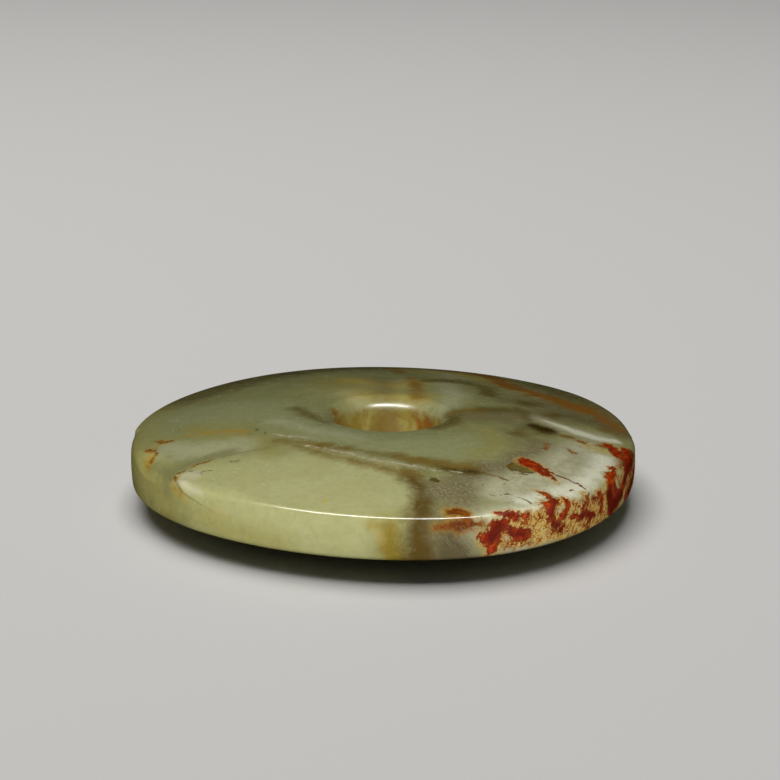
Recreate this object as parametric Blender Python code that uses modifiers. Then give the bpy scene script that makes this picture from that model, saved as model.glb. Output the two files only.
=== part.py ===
"""Jade bi disc: one thick, polished disc of nephrite with a round bore, lying on its underside.

Both faces swell gently from the rim to a low crest around the bore, whose lips are worn round.
The disc was ground by hand: its outline is a little out of round, its upper face leans slightly
against the lower one, and an old flake scar takes off the upper arris on one side. The origin is
on the bore's axis, level with the flat land of the underside.
"""
import math

import bpy
from mathutils import Vector

# Driving dimensions, in metres
OUTER_DIAMETER = 0.120
BORE_DIAMETER = 0.0252
EDGE_HEIGHT = 0.0100
EDGE_CROWN = 0.0003
TOP_RISE = 0.0058
UNDERSIDE_DROP = 0.0056
TOP_LIP_RADIUS = 0.0036
UNDERSIDE_LIP_RADIUS = 0.0030
DISH_WIDTH = 0.0066
DISH_DEPTH = 0.0003
LAND_WIDTH = 0.0090
TOP_ARRIS_RADIUS = 0.0005
UNDERSIDE_ARRIS_RADIUS = 0.0010

# Each face falls from crest to rim by the share (distance from the crest) ** FACE_FULLNESS
FACE_FULLNESS = 1.6

# Waves of the hand-ground outline: how many to the turn, their height, the bearing of a high point
OUTLINE_WAVES = (
    (3, 0.0007, math.radians(63.0)),
    (4, 0.00065, math.radians(23.0)),
)

# How much higher the upper face stands at the rim on its thick side, and where that side is
FACE_LEAN = 0.00065
FACE_LEAN_BEARING = math.radians(-166.0)

# The flake scar is a shallow scoop out of the upper arris
SCAR_BEARING = math.radians(-153.0)
SCAR_LEAN = math.radians(52.0)
SCAR_DEPTH = 0.0018
SCAR_LENGTH = 0.026
SCAR_HOLLOW_RADIUS = 0.030

# How finely the curves are cut up
TURN_STEPS = 96
FACE_STEPS = 7
DISH_STEPS = 3
EDGE_STEPS = 3
LIP_STEPS = 5
ARRIS_STEPS = 2

# Edges sharper than this stay crisp when the surface is shaded smooth
CRISP_ANGLE = math.radians(25.0)

# What follows from the driving dimensions
OUTER_RADIUS = OUTER_DIAMETER / 2
BORE_RADIUS = BORE_DIAMETER / 2
LOWER_ARRIS_Z = UNDERSIDE_DROP
UPPER_ARRIS_Z = LOWER_ARRIS_Z + EDGE_HEIGHT
CREST_Z = UPPER_ARRIS_Z + TOP_RISE
LIP_Z = CREST_Z - DISH_DEPTH
CREST_RADIUS = BORE_RADIUS + TOP_LIP_RADIUS + DISH_WIDTH
LAND_INNER_RADIUS = BORE_RADIUS + UNDERSIDE_LIP_RADIUS
LAND_OUTER_RADIUS = LAND_INNER_RADIUS + LAND_WIDTH

JADE_COLOUR = (0.44, 0.43, 0.26, 1.0)
JADE_ROUGHNESS = 0.22


def make_collection(name):
    collection = bpy.data.collections.new(name)
    bpy.context.scene.collection.children.link(collection)
    return collection


def evaluated_mesh(thing):
    """The object's mesh with its modifiers carried out."""
    depsgraph = bpy.context.evaluated_depsgraph_get()
    return bpy.data.meshes.new_from_object(thing.evaluated_get(depsgraph))


def make_jade():
    """Pale yellow-green nephrite, polished and a little waxy."""
    material = bpy.data.materials.new("celadon_jade")
    material.use_nodes = True
    shader = material.node_tree.nodes["Principled BSDF"]
    shader.inputs["Base Color"].default_value = JADE_COLOUR
    shader.inputs["Roughness"].default_value = JADE_ROUGHNESS
    shader.inputs["Metallic"].default_value = 0.0
    return material


def face_fall(radius, crest_radius):
    """Share of a face's swell that is lost at a radius: 0 at the crest, 1 at the rim."""
    share = (radius - crest_radius) / (OUTER_RADIUS - crest_radius)
    return max(share, 0.0) ** FACE_FULLNESS


def rounded_corner(before, corner, after, radius, steps):
    """Points of the arc that rounds a profile's corner."""
    towards_before = (before - corner).normalized()
    towards_after = (after - corner).normalized()
    half_angle = towards_before.angle(towards_after) / 2
    setback = radius / math.tan(half_angle)
    start = corner + towards_before * setback
    middle = (towards_before + towards_after).normalized()
    centre = corner + middle * radius / math.sin(half_angle)
    first_spoke = start - centre
    last_spoke = corner + towards_after * setback - centre
    turn = first_spoke.angle(last_spoke)
    points = []
    for step in range(steps + 1):
        share = step / steps
        spoke = first_spoke * math.sin((1 - share) * turn) + last_spoke * math.sin(share * turn)
        points.append(centre + spoke / math.sin(turn))
    return points


def section_profile():
    """Closed half-section, as (radius, height): bore lip, upper face, rim, underside and land."""
    bore_top = Vector((BORE_RADIUS, LIP_Z))
    bore_bottom = Vector((BORE_RADIUS, 0.0))
    upper_arris = Vector((OUTER_RADIUS, UPPER_ARRIS_Z))
    lower_arris = Vector((OUTER_RADIUS, LOWER_ARRIS_Z))

    dish = []
    for step in range(1, DISH_STEPS + 1):
        share = step / DISH_STEPS
        height = LIP_Z + DISH_DEPTH * math.sin(share * math.pi / 2)
        dish.append(Vector((BORE_RADIUS + TOP_LIP_RADIUS + DISH_WIDTH * share, height)))

    upper_face = []
    underside = []
    for step in range(1, FACE_STEPS):
        share = step / FACE_STEPS
        radius = CREST_RADIUS + (OUTER_RADIUS - CREST_RADIUS) * share
        upper_face.append(Vector((radius, CREST_Z - TOP_RISE * face_fall(radius, CREST_RADIUS))))
        radius = OUTER_RADIUS - (OUTER_RADIUS - LAND_OUTER_RADIUS) * share
        underside.append(Vector((radius, UNDERSIDE_DROP * face_fall(radius, LAND_OUTER_RADIUS))))

    edge = []
    for step in range(1, EDGE_STEPS):
        share = step / EDGE_STEPS
        bow = EDGE_CROWN * math.sin(share * math.pi)
        edge.append(Vector((OUTER_RADIUS + bow, UPPER_ARRIS_Z - EDGE_HEIGHT * share)))

    profile = rounded_corner(bore_bottom, bore_top, bore_top + Vector((1, 0)), TOP_LIP_RADIUS, LIP_STEPS)
    profile += dish
    profile += upper_face
    profile += rounded_corner(upper_face[-1], upper_arris, lower_arris, TOP_ARRIS_RADIUS, ARRIS_STEPS)
    profile += edge
    profile += rounded_corner(upper_arris, lower_arris, underside[0], UNDERSIDE_ARRIS_RADIUS, ARRIS_STEPS)
    profile += underside
    profile.append(Vector((LAND_OUTER_RADIUS, 0.0)))
    profile += rounded_corner(bore_bottom + Vector((1, 0)), bore_bottom, bore_top,
                              UNDERSIDE_LIP_RADIUS, LIP_STEPS)
    return profile


def turn_blank(collection):
    """The round blank: the section turned about the bore's axis."""
    profile = section_profile()
    count = len(profile)
    mesh = bpy.data.meshes.new("disc_section")
    mesh.from_pydata([(point.x, 0.0, point.y) for point in profile],
                     [(index, (index + 1) % count) for index in range(count)], [])
    section = bpy.data.objects.new("disc_section", mesh)
    collection.objects.link(section)
    screw = section.modifiers.new("turned", 'SCREW')
    screw.axis = 'Z'
    screw.angle = 2 * math.pi
    screw.steps = TURN_STEPS
    screw.render_steps = TURN_STEPS
    screw.use_merge_vertices = True
    screw.merge_threshold = 0.00001

    disc = bpy.data.objects.new("jade_disc", evaluated_mesh(section))
    bpy.data.objects.remove(section)
    collection.objects.link(disc)
    return disc


def grind_by_hand(disc):
    """Press the outline out of round and lean the upper face. The bore and its crest stay round."""
    for vertex in disc.data.vertices:
        radius = math.hypot(vertex.co.x, vertex.co.y)
        bearing = math.atan2(vertex.co.y, vertex.co.x)
        swell = sum(height * math.cos(waves * (bearing - high_point))
                    for waves, height, high_point in OUTLINE_WAVES)
        reach = (radius - CREST_RADIUS) / (OUTER_RADIUS - CREST_RADIUS)
        swell *= max(reach, 0.0) ** 2
        lean = FACE_LEAN * radius / OUTER_RADIUS * math.cos(bearing - FACE_LEAN_BEARING)
        lift = min(max((vertex.co.z - LOWER_ARRIS_Z) / EDGE_HEIGHT, 0.0), 1.0)
        vertex.co.x += swell * math.cos(bearing)
        vertex.co.y += swell * math.sin(bearing)
        vertex.co.z += lean * lift


def cut_scar(disc, cutters):
    """The flake scar: a lens-shaped tool sunk into the upper arris."""
    outward = Vector((math.cos(SCAR_BEARING), math.sin(SCAR_BEARING), 0.0))
    axis = outward * math.cos(SCAR_LEAN) + Vector((0.0, 0.0, math.sin(SCAR_LEAN)))
    along = Vector((0.0, 0.0, 1.0)).cross(outward)
    across = axis.cross(along)
    arris = outward * OUTER_RADIUS + Vector((0.0, 0.0, UPPER_ARRIS_Z))
    centre = arris + axis * (SCAR_HOLLOW_RADIUS - SCAR_DEPTH)
    # Where the tool meets the arris, its half-width is this without any stretch
    plain_half_width = math.sqrt(SCAR_HOLLOW_RADIUS ** 2 - (SCAR_HOLLOW_RADIUS - SCAR_DEPTH) ** 2)
    stretch = SCAR_LENGTH / 2 / plain_half_width

    bpy.ops.mesh.primitive_uv_sphere_add(segments=72, ring_count=36, radius=SCAR_HOLLOW_RADIUS)
    cutter = bpy.context.object
    cutter.name = "scar_cutter"
    for vertex in cutter.data.vertices:
        local = vertex.co.copy()
        vertex.co = centre + along * local.x * stretch + across * local.y + axis * local.z
    for collection in list(cutter.users_collection):
        collection.objects.unlink(cutter)
    cutters.objects.link(cutter)
    cutter.hide_render = True
    cutter.display_type = 'WIRE'

    cut = disc.modifiers.new("flake_scar", 'BOOLEAN')
    cut.operation = 'DIFFERENCE'
    cut.solver = 'EXACT'
    cut.object = cutter


def polish(disc):
    """Shade the cut stone smooth, with only its arrises and the scar's rim left crisp."""
    stone = evaluated_mesh(disc)
    disc.modifiers.clear()
    disc.data = stone
    stone.shade_smooth()
    stone.set_sharp_from_angle(angle=CRISP_ANGLE)


for leftover in list(bpy.data.objects):
    bpy.data.objects.remove(leftover)

parts = make_collection("jade_bi_disc")
cutters = make_collection("cutters")

jade_disc = turn_blank(parts)
grind_by_hand(jade_disc)
jade_disc.data.materials.append(make_jade())
cut_scar(jade_disc, cutters)
polish(jade_disc)
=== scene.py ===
"""Jade bi disc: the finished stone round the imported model, on a pale floor, as the camera sees it."""
import math

import bpy
import numpy as np
from mathutils import Matrix, Vector, noise


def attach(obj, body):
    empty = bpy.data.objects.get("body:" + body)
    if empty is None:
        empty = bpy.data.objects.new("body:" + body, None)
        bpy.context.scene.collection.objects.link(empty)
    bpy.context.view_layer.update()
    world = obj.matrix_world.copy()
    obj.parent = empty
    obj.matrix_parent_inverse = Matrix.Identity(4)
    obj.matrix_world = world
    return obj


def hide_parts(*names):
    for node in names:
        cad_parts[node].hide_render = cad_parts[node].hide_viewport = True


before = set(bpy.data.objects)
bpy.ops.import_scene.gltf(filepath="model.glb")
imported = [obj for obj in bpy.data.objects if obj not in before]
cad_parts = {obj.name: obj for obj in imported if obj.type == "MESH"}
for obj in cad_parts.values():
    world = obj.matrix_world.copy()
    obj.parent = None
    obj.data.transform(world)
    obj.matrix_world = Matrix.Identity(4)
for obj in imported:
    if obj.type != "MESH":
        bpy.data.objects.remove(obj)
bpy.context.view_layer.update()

# The disc's body
# One thick disc of nephrite, sawn from a boulder, ground round by hand, bored and polished. Both faces
# swell to a low crest round the bore, the lips are worn, and a flake scar takes the arris off at the left.
RADIUS = 0.060
BORE_RADIUS = 0.0126
EDGE_HEIGHT = 0.0100
EDGE_CROWN = 0.0003
TOP_RISE = 0.0058
UNDERSIDE_DROP = 0.0056
TOP_LIP_RADIUS = 0.0036
UNDERSIDE_LIP_RADIUS = 0.0030
DISH_WIDTH = 0.0066
DISH_DEPTH = 0.0003
LAND_WIDTH = 0.0090
FACE_FULLNESS = 1.6
OUTLINE_WAVES = (
    (3, 0.0007, math.radians(63.0)),
    (4, 0.00065, math.radians(23.0)),
)
FACE_LEAN = 0.00065
FACE_LEAN_BEARING = math.radians(-166.0)

UPPER_ARRIS_Z = UNDERSIDE_DROP + EDGE_HEIGHT
CREST_Z = UPPER_ARRIS_Z + TOP_RISE
LIP_Z = CREST_Z - DISH_DEPTH
LIP_OUTER_RADIUS = BORE_RADIUS + TOP_LIP_RADIUS
CREST_RADIUS = LIP_OUTER_RADIUS + DISH_WIDTH
LAND_INNER_RADIUS = BORE_RADIUS + UNDERSIDE_LIP_RADIUS
LAND_OUTER_RADIUS = LAND_INNER_RADIUS + LAND_WIDTH

# Mesh points round the disc, and the stretches where they stand closer (bearings in degrees, how much)
TURN_POINTS = 480
CLOSE_STRETCHES = ((-168.0, -112.0, 1.3), (-80.0, 5.0, 0.5))
STRETCH_FADE = 6.0

# Mesh points along each stretch of the section
BORE_POINTS = 14
TOP_LIP_POINTS = 16
DISH_POINTS = 12
FACE_POINTS = 66
FACE_CROWDING = 0.12
ARRIS_POINTS = 10
EDGE_POINTS = 30
LOWER_ARRIS_POINTS = 7
UNDERSIDE_POINTS = 34
LAND_POINTS = 6
UNDERSIDE_LIP_POINTS = 10

# How far the upper arris is rounded: least, and how much more over each worn stretch of the rim, from -180
# to 180 degrees
CRISP_ARRIS = 0.0007
UNDERSIDE_ARRIS = 0.0010
WORN_STRETCHES = (
    (-203.0, -190.0, -143.0, -140.5, 0.0016),
    (-142.0, -139.0, -134.0, -112.0, 0.0008),
    (-66.0, -38.0, -18.0, 2.0, 0.0012),
    (-10.0, 5.0, 25.0, 40.0, 0.0008),
)


def smooth(value, low, high):
    """0 below low, 1 above high and an easy curve between them."""
    share = np.clip((value - low) / (high - low), 0.0, 1.0)
    return share * share * (3.0 - 2.0 * share)


def between(value, start, full, still, end):
    """0 up to start, 1 from full to still, 0 again beyond end, and easy curves between them."""
    return smooth(value, start, full) * (1.0 - smooth(value, still, end))


def spread_bearings():
    """Bearings of the mesh points round the disc, in radians."""
    fine = np.linspace(-180.0, 180.0, 3601)
    density = np.ones_like(fine)
    for start, end, extra in CLOSE_STRETCHES:
        density += (extra * smooth(fine, start - STRETCH_FADE, start + STRETCH_FADE)
                    * smooth(-fine, -end - STRETCH_FADE, -end + STRETCH_FADE))
    share = np.concatenate(([0.0], np.cumsum((density[1:] + density[:-1]) / 2)))
    share /= share[-1]
    return np.radians(np.interp(np.arange(TURN_POINTS) / TURN_POINTS, share, fine))


def arris_radius(bearing):
    """How far back the upper arris is rounded at a bearing."""
    degrees = np.degrees(bearing)
    radius = np.full_like(bearing, CRISP_ARRIS)
    for *stretch, extra in WORN_STRETCHES:
        radius += extra * between(degrees, *stretch)
    return radius


def face_height(radius):
    share = np.clip((radius - CREST_RADIUS) / (RADIUS - CREST_RADIUS), 0.0, 1.0)
    return CREST_Z - TOP_RISE * share ** FACE_FULLNESS


def underside_height(radius):
    share = np.clip((radius - LAND_OUTER_RADIUS) / (RADIUS - LAND_OUTER_RADIUS), 0.0, 1.0)
    return UNDERSIDE_DROP * share ** FACE_FULLNESS


def edge_radius(height):
    return RADIUS + EDGE_CROWN * np.sin((UPPER_ARRIS_Z - height) / EDGE_HEIGHT * math.pi)


def rounded(before, corner, after, count):
    """Points of the easy curve that rounds a corner, given as (radius, height) pairs."""
    share = np.arange(count) / count
    radius = (1 - share) ** 2 * before[0] + 2 * share * (1 - share) * corner[0] + share ** 2 * after[0]
    height = (1 - share) ** 2 * before[1] + 2 * share * (1 - share) * corner[1] + share ** 2 * after[1]
    return radius, height


def section(bearing):
    """Radius and height of every point of the closed section, for a column of bearings."""
    worn = arris_radius(bearing)[:, None]
    flat = np.zeros_like(worn)
    stretches = []

    share = np.arange(BORE_POINTS) / BORE_POINTS
    height = UNDERSIDE_LIP_RADIUS + (LIP_Z - TOP_LIP_RADIUS - UNDERSIDE_LIP_RADIUS) * share
    stretches.append((BORE_RADIUS + 0 * share, height))

    turn = np.arange(TOP_LIP_POINTS) / TOP_LIP_POINTS * math.pi / 2
    stretches.append((LIP_OUTER_RADIUS - TOP_LIP_RADIUS * np.cos(turn),
                      LIP_Z - TOP_LIP_RADIUS + TOP_LIP_RADIUS * np.sin(turn)))

    share = np.arange(DISH_POINTS) / DISH_POINTS
    stretches.append((LIP_OUTER_RADIUS + DISH_WIDTH * share,
                      LIP_Z + DISH_DEPTH * np.sin(share * math.pi / 2)))

    share = np.arange(FACE_POINTS) / FACE_POINTS
    share = share + FACE_CROWDING * np.sin(share * math.pi)
    radius = CREST_RADIUS + (RADIUS - worn - CREST_RADIUS) * share
    stretches.append((radius, face_height(radius)))

    top = (RADIUS - worn, face_height(RADIUS - worn))
    side_height = UPPER_ARRIS_Z - worn
    side = (edge_radius(side_height), side_height)
    stretches.append(rounded(top, (RADIUS + flat, UPPER_ARRIS_Z + flat), side, ARRIS_POINTS))

    foot_height = UNDERSIDE_DROP + UNDERSIDE_ARRIS
    share = np.arange(EDGE_POINTS) / EDGE_POINTS
    height = side_height + (foot_height - side_height) * share
    stretches.append((edge_radius(height), height))

    foot = (edge_radius(foot_height + flat), foot_height + flat)
    under_radius = RADIUS - UNDERSIDE_ARRIS
    under = (under_radius + flat, underside_height(under_radius + flat))
    stretches.append(rounded(foot, (RADIUS + flat, UNDERSIDE_DROP + flat), under, LOWER_ARRIS_POINTS))

    share = np.arange(UNDERSIDE_POINTS) / UNDERSIDE_POINTS
    radius = under_radius + (LAND_OUTER_RADIUS - under_radius) * share
    stretches.append((radius, underside_height(radius)))

    share = np.arange(LAND_POINTS) / LAND_POINTS
    stretches.append((LAND_OUTER_RADIUS - LAND_WIDTH * share, 0 * share))

    turn = np.arange(UNDERSIDE_LIP_POINTS) / UNDERSIDE_LIP_POINTS * math.pi / 2
    stretches.append((LAND_INNER_RADIUS - UNDERSIDE_LIP_RADIUS * np.sin(turn),
                      UNDERSIDE_LIP_RADIUS - UNDERSIDE_LIP_RADIUS * np.cos(turn)))

    radii = np.concatenate([radius + flat for radius, height in stretches], axis=1)
    heights = np.concatenate([height + flat for radius, height in stretches], axis=1)
    return radii, heights


def ground(bearing, radius, height):
    """Points in space: the turned section, pressed out of round and leaning as it was ground by hand."""
    swell = sum(size * np.cos(waves * (bearing - high_point)) for waves, size, high_point in OUTLINE_WAVES)
    reach = np.clip((radius - CREST_RADIUS) / (RADIUS - CREST_RADIUS), 0.0, None)
    swell = swell * reach ** 2
    lean = FACE_LEAN * radius / RADIUS * np.cos(bearing - FACE_LEAN_BEARING)
    lift = np.clip((height - UNDERSIDE_DROP) / EDGE_HEIGHT, 0.0, 1.0)
    across = radius + swell
    return np.stack([across * np.cos(bearing), across * np.sin(bearing), height + lean * lift], axis=-1)


def outward(points):
    """Unit normals of the closed grid of points."""
    along_turn = np.roll(points, -1, axis=0) - np.roll(points, 1, axis=0)
    along_section = np.roll(points, -1, axis=1) - np.roll(points, 1, axis=1)
    normal = np.cross(along_section, along_turn)
    return normal / np.linalg.norm(normal, axis=-1, keepdims=True)


def waves_in(points, size, seed):
    """Smooth random field over the points, about -1 to 1, with bumps of the size given."""
    shift = Vector((seed * 17.3, seed * 5.1, seed * 9.7))
    flat = points.reshape(-1, 3) / size
    values = [noise.noise(Vector(point) + shift) for point in flat]
    return np.array(values).reshape(points.shape[:-1])


bearings = spread_bearings()
section_radii, section_heights = section(bearings)
turned = np.repeat(bearings[:, None], section_radii.shape[1], axis=1)
blank = ground(turned, section_radii, section_heights)
blank_normals = outward(blank)

# How far outside the arris a point lies, unrolled: below 0 in from it on the face, above 0 down the edge
unrolled = section_radii - RADIUS + np.clip(UPPER_ARRIS_Z - section_heights, 0.0, None)
upper_side = section_heights > UNDERSIDE_DROP + UNDERSIDE_ARRIS
TOUCHING = 0.00002
resting = section_heights < TOUCHING

# The flake scar's hollow, as sunk into the solid, and the crease where its break stepped
SCAR_BEARING = math.radians(-153.0)
SCAR_LEAN = math.radians(52.0)
SCAR_DEPTH = 0.0018
SCAR_LENGTH = 0.026
SCAR_HOLLOW_RADIUS = 0.030
SCAR_RIM_EASE = 0.0009
CREASE_DEPTH = 0.00045
CREASE_WIDTH = 0.0005
# The crease, as (bearing in degrees, how far outside the arris), from the face over the arris and down
CREASE = ((-138.3, -0.0198), (-141.4, -0.0162), (-143.8, -0.0109), (-144.8, -0.0077), (-144.3, -0.0045),
          (-144.9, -0.0021), (-144.0, -0.0008), (-142.6, 0.0002), (-140.6, 0.0010), (-139.8, 0.0021),
          (-135.0, 0.0032), (-131.0, 0.0041), (-125.0, 0.0043))
CREASE_ON_EDGE = CREASE[7:]
CREASE_DEEPEST = -146.0
CREASE_SPREAD = 12.0


def scoop(points, normals):
    """How deep the scar's hollow goes in under each point."""
    out = np.array([math.cos(SCAR_BEARING), math.sin(SCAR_BEARING), 0.0])
    up = np.array([0.0, 0.0, 1.0])
    axis = out * math.cos(SCAR_LEAN) + up * math.sin(SCAR_LEAN)
    along = np.cross(up, out)
    across = np.cross(axis, along)
    centre = out * RADIUS + up * UPPER_ARRIS_Z + axis * (SCAR_HOLLOW_RADIUS - SCAR_DEPTH)
    plain_half_width = math.sqrt(SCAR_HOLLOW_RADIUS ** 2 - (SCAR_HOLLOW_RADIUS - SCAR_DEPTH) ** 2)
    stretch = SCAR_LENGTH / 2 / plain_half_width
    frame_axes = np.stack([along / stretch, across, axis], axis=-1)
    local = (points - centre) @ frame_axes
    way = normals @ frame_axes
    inside = SCAR_HOLLOW_RADIUS ** 2 - (local ** 2).sum(-1)
    pace = (way ** 2).sum(-1)
    lean = (local * way).sum(-1)
    depth = (lean + np.sqrt(np.maximum(lean ** 2 + pace * inside, 0.0))) / pace
    depth = np.where(inside > 0.0, depth, 0.0)
    return depth ** 2 / (depth + SCAR_RIM_EASE)


def side_of_crease(bearing, reach):
    """Distance to the crease line, above 0 on its left and lower side."""
    flat = np.stack([bearing * RADIUS, reach], axis=-1)
    line = np.array([(math.radians(degrees) * RADIUS, out) for degrees, out in CREASE])
    nearest = np.full(bearing.shape, 1.0)
    side = np.zeros(bearing.shape)
    for start, end in zip(line[:-1], line[1:]):
        run = end - start
        share = np.clip(((flat - start) @ run) / (run @ run), 0.0, 1.0)
        gap = flat - start - share[..., None] * run
        distance = np.linalg.norm(gap, axis=-1)
        hand = run[0] * (flat[..., 1] - start[1]) - run[1] * (flat[..., 0] - start[0])
        closer = distance < nearest
        nearest = np.where(closer, distance, nearest)
        side = np.where(closer, np.sign(hand), side)
    return nearest * side


# The scar and its crease, the ridge that crosses the right of the face, and the hand polish
POLISH_LOSS = 0.00006
FACE_WAVE = 0.00010
FACE_WAVE_SIZE = 0.022
RIPPLE = 0.00003
RIPPLE_SIZE = 0.006
RIDGE_START = np.array([0.60, 0.09]) * RADIUS
RIDGE_END = np.array([0.97, -0.10]) * RADIUS
RIDGE_FALL = 0.00045
RIDGE_WIDTH = 0.010
CHIP_DEPTH = 0.0003
CHIP_SIZE = 0.0016
NOSE_FLAT = 0.0005
LEAST_NOSE_FOOT = 0.0005
ARRIS_REACH = 0.0022

crease_gap = side_of_crease(turned, unrolled)
degrees_round = np.degrees(turned)
stepped = smooth(crease_gap, 0.0, CREASE_WIDTH)
stepped *= np.exp(-((degrees_round - CREASE_DEEPEST) / CREASE_SPREAD) ** 2)
stepped *= between(unrolled, -0.026, -0.010, 0.0050, 0.0088) * upper_side

nose_foot = np.interp(degrees_round, *zip(*CREASE_ON_EDGE))
nose = np.clip(1.0 - unrolled / np.maximum(nose_foot, LEAST_NOSE_FOOT), 0.0, 1.0)
nose *= smooth(unrolled, -0.0035, 0.0)
nose *= between(degrees_round, -140.5, -138.0, -128.0, -114.0) * upper_side

ridge_run = (RIDGE_END - RIDGE_START) / np.linalg.norm(RIDGE_END - RIDGE_START)
off_ridge = blank[..., :2] - RIDGE_START
along_ridge = off_ridge @ ridge_run
beyond_ridge = off_ridge[..., 1] * ridge_run[0] - off_ridge[..., 0] * ridge_run[1]
ridge = between(beyond_ridge, 0.0, RIDGE_WIDTH, RIDGE_WIDTH, 3 * RIDGE_WIDTH)
ridge *= smooth(along_ridge, -0.006, 0.008) * (section_heights > UPPER_ARRIS_Z - 0.002)

near_arris = np.exp(-(unrolled / ARRIS_REACH) ** 2) * upper_side
chipped = smooth(waves_in(blank, CHIP_SIZE, 3), 0.12, 0.45) * near_arris
chipped *= between(degrees_round, -166.0, -160.0, -148.0, -144.0)

sunk = scoop(blank, blank_normals) * upper_side
sunk += CREASE_DEPTH * stepped
sunk += NOSE_FLAT * nose
sunk += RIDGE_FALL * ridge
sunk += CHIP_DEPTH * chipped
sunk += FACE_WAVE * (0.5 + 0.5 * waves_in(blank, FACE_WAVE_SIZE, 1))
sunk += RIPPLE * (0.5 + 0.5 * waves_in(blank, RIPPLE_SIZE, 2))
sunk += POLISH_LOSS
sunk = np.where(resting, 0.0, sunk)
stone = blank - blank_normals * sunk[..., None]

# The stains, and a few strokes of painted shade and painted highlight
# Iron from the ground has gone in along cracks and under the skin, and the stone is clouded white and grey
# on the right. Each stain is a stroke through the stone, laid down from where it shows at the surface. A
# few strokes are painted shade and painted highlights instead: shade by the scar's crease and on the far
# side, highlights on the scar's nose and on the ridge's white streak.


def on_face(x, y):
    """A point on the upper face, from its place in plan in shares of the radius."""
    radius = math.hypot(x, y) * RADIUS
    bearing = np.array(math.atan2(y, x))
    return ground(bearing, np.array(radius), face_height(np.array(radius)))


def on_edge(degrees, below):
    """A point on the edge, from its bearing and its distance below the arris in shares of the radius."""
    bearing = np.array(math.radians(degrees))
    height = np.array(UPPER_ARRIS_Z - below * RADIUS)
    return ground(bearing, edge_radius(height), height)


def on_bore(degrees, height):
    """A point on the bore's wall, from its bearing and its height above the floor in metres."""
    angle = math.radians(degrees)
    return np.array([BORE_RADIUS * math.cos(angle), BORE_RADIUS * math.sin(angle), height])


def face(*places):
    return [on_face(x, y) for x, y in places]


def edge(*places):
    return [on_edge(degrees, below) for degrees, below in places]


def bore(*places):
    return [on_bore(degrees, height) for degrees, height in places]


# Each stroke is (half-width at its start, half-width at its end, points), with widths in millimetres
STROKES = {}
STROKES["celadon"] = (
    (9, 8, face((-0.9, 0.06), (-0.6, 0.06), (-0.42, -0.02))),
    (6.5, 7, face((-0.4, -0.08), (-0.22, -0.3), (0.08, -0.4), (0.26, -0.42))),
    (3, 4, face((-0.2, -0.38), (-0.1, -0.46), (0.06, -0.5), (0.24, -0.5))),
)
STROKES["yellowed"] = (
    (2.4, 3.4, face((-0.76, -0.12), (-0.68, -0.2), (-0.56, -0.28))),
    (1.8, 2.4, face((-0.5, -0.34), (-0.43, -0.5))),
    (1.8, 2.2, face((0.38, -0.22), (0.42, -0.38), (0.34, -0.48))),
    (5, 5, face((-0.26, 0.46), (-0.14, 0.26), (0.04, 0.12))),
    (6.5, 6.5, edge((-200, 0.06), (-166, 0.08), (-146, 0.11))),
    (3, 3, edge((-146, 0.03), (-138, 0.1), (-126, 0.12), (-113, 0.15))),
    (2.2, 2.4, edge((-90, 0.02), (-89, 0.08), (-88.5, 0.16))),
)
STROKES["gold"] = (
    (3, 3.4, face((-0.16, 0.46), (0.0, 0.38), (0.1, 0.42))),
    (2, 2, face((-0.14, 0.24), (0.0, 0.26), (0.16, 0.22))),
    (3, 3.4, face((0.1, 0.74), (0.32, 0.74), (0.4, 0.62))),
)
STROKES["lens"] = (
    (3.4, 4.6, face((-0.84, -0.29), (-0.76, -0.36), (-0.58, -0.38))),
    (1.6, 2.2, face((-0.44, -0.14), (-0.3, -0.26), (-0.12, -0.34))),
    (2.6, 2.6, face((-0.16, 0.24), (-0.02, 0.14), (0.1, 0.14))),
    (2.4, 2.8, face((0.24, 0.42), (0.28, 0.24), (0.24, 0.1))),
    (3, 3, face((0.22, 0.78), (0.28, 0.62))),
    (1.4, 1.4, face((0.06, 0.46), (0.07, 0.38))),
)
STROKES["cream"] = (
    (10, 12, face((-0.5, -0.66), (-0.25, -0.8), (-0.06, -0.86))),
    (6, 10, face((-0.66, -0.6), (-0.35, -0.62), (-0.1, -0.75))),
    (7, 7, edge((-134, 0.03), (-115, 0.06), (-98, 0.06))),
)
# Painted highlight: a pale patch and rim on the scar's nose, where the raised tip catches the light.
STROKES["nose"] = (
    (1.5, 1.6, face((-0.785, -0.6), (-0.745, -0.59), (-0.72, -0.6))),
    (1.5, 0.7, edge((-140.5, 0.0), (-137.5, 0.01), (-134.5, 0.014))),
)
# Painted shade on the lower, left side of the scar's crease and down the wall below it, where the hollow
# turns from the light.
STROKES["scar_painted_shade"] = (
    (1, 2, face((-0.835, -0.545), (-0.775, -0.5), (-0.7, -0.45), (-0.6, -0.425))),
    (1.2, 1.6, face((-0.9, -0.4), (-0.86, -0.45), (-0.83, -0.5))),
    (1.4, 1.4, edge((-147.5, 0.0), (-146, 0.05))),
)
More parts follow.
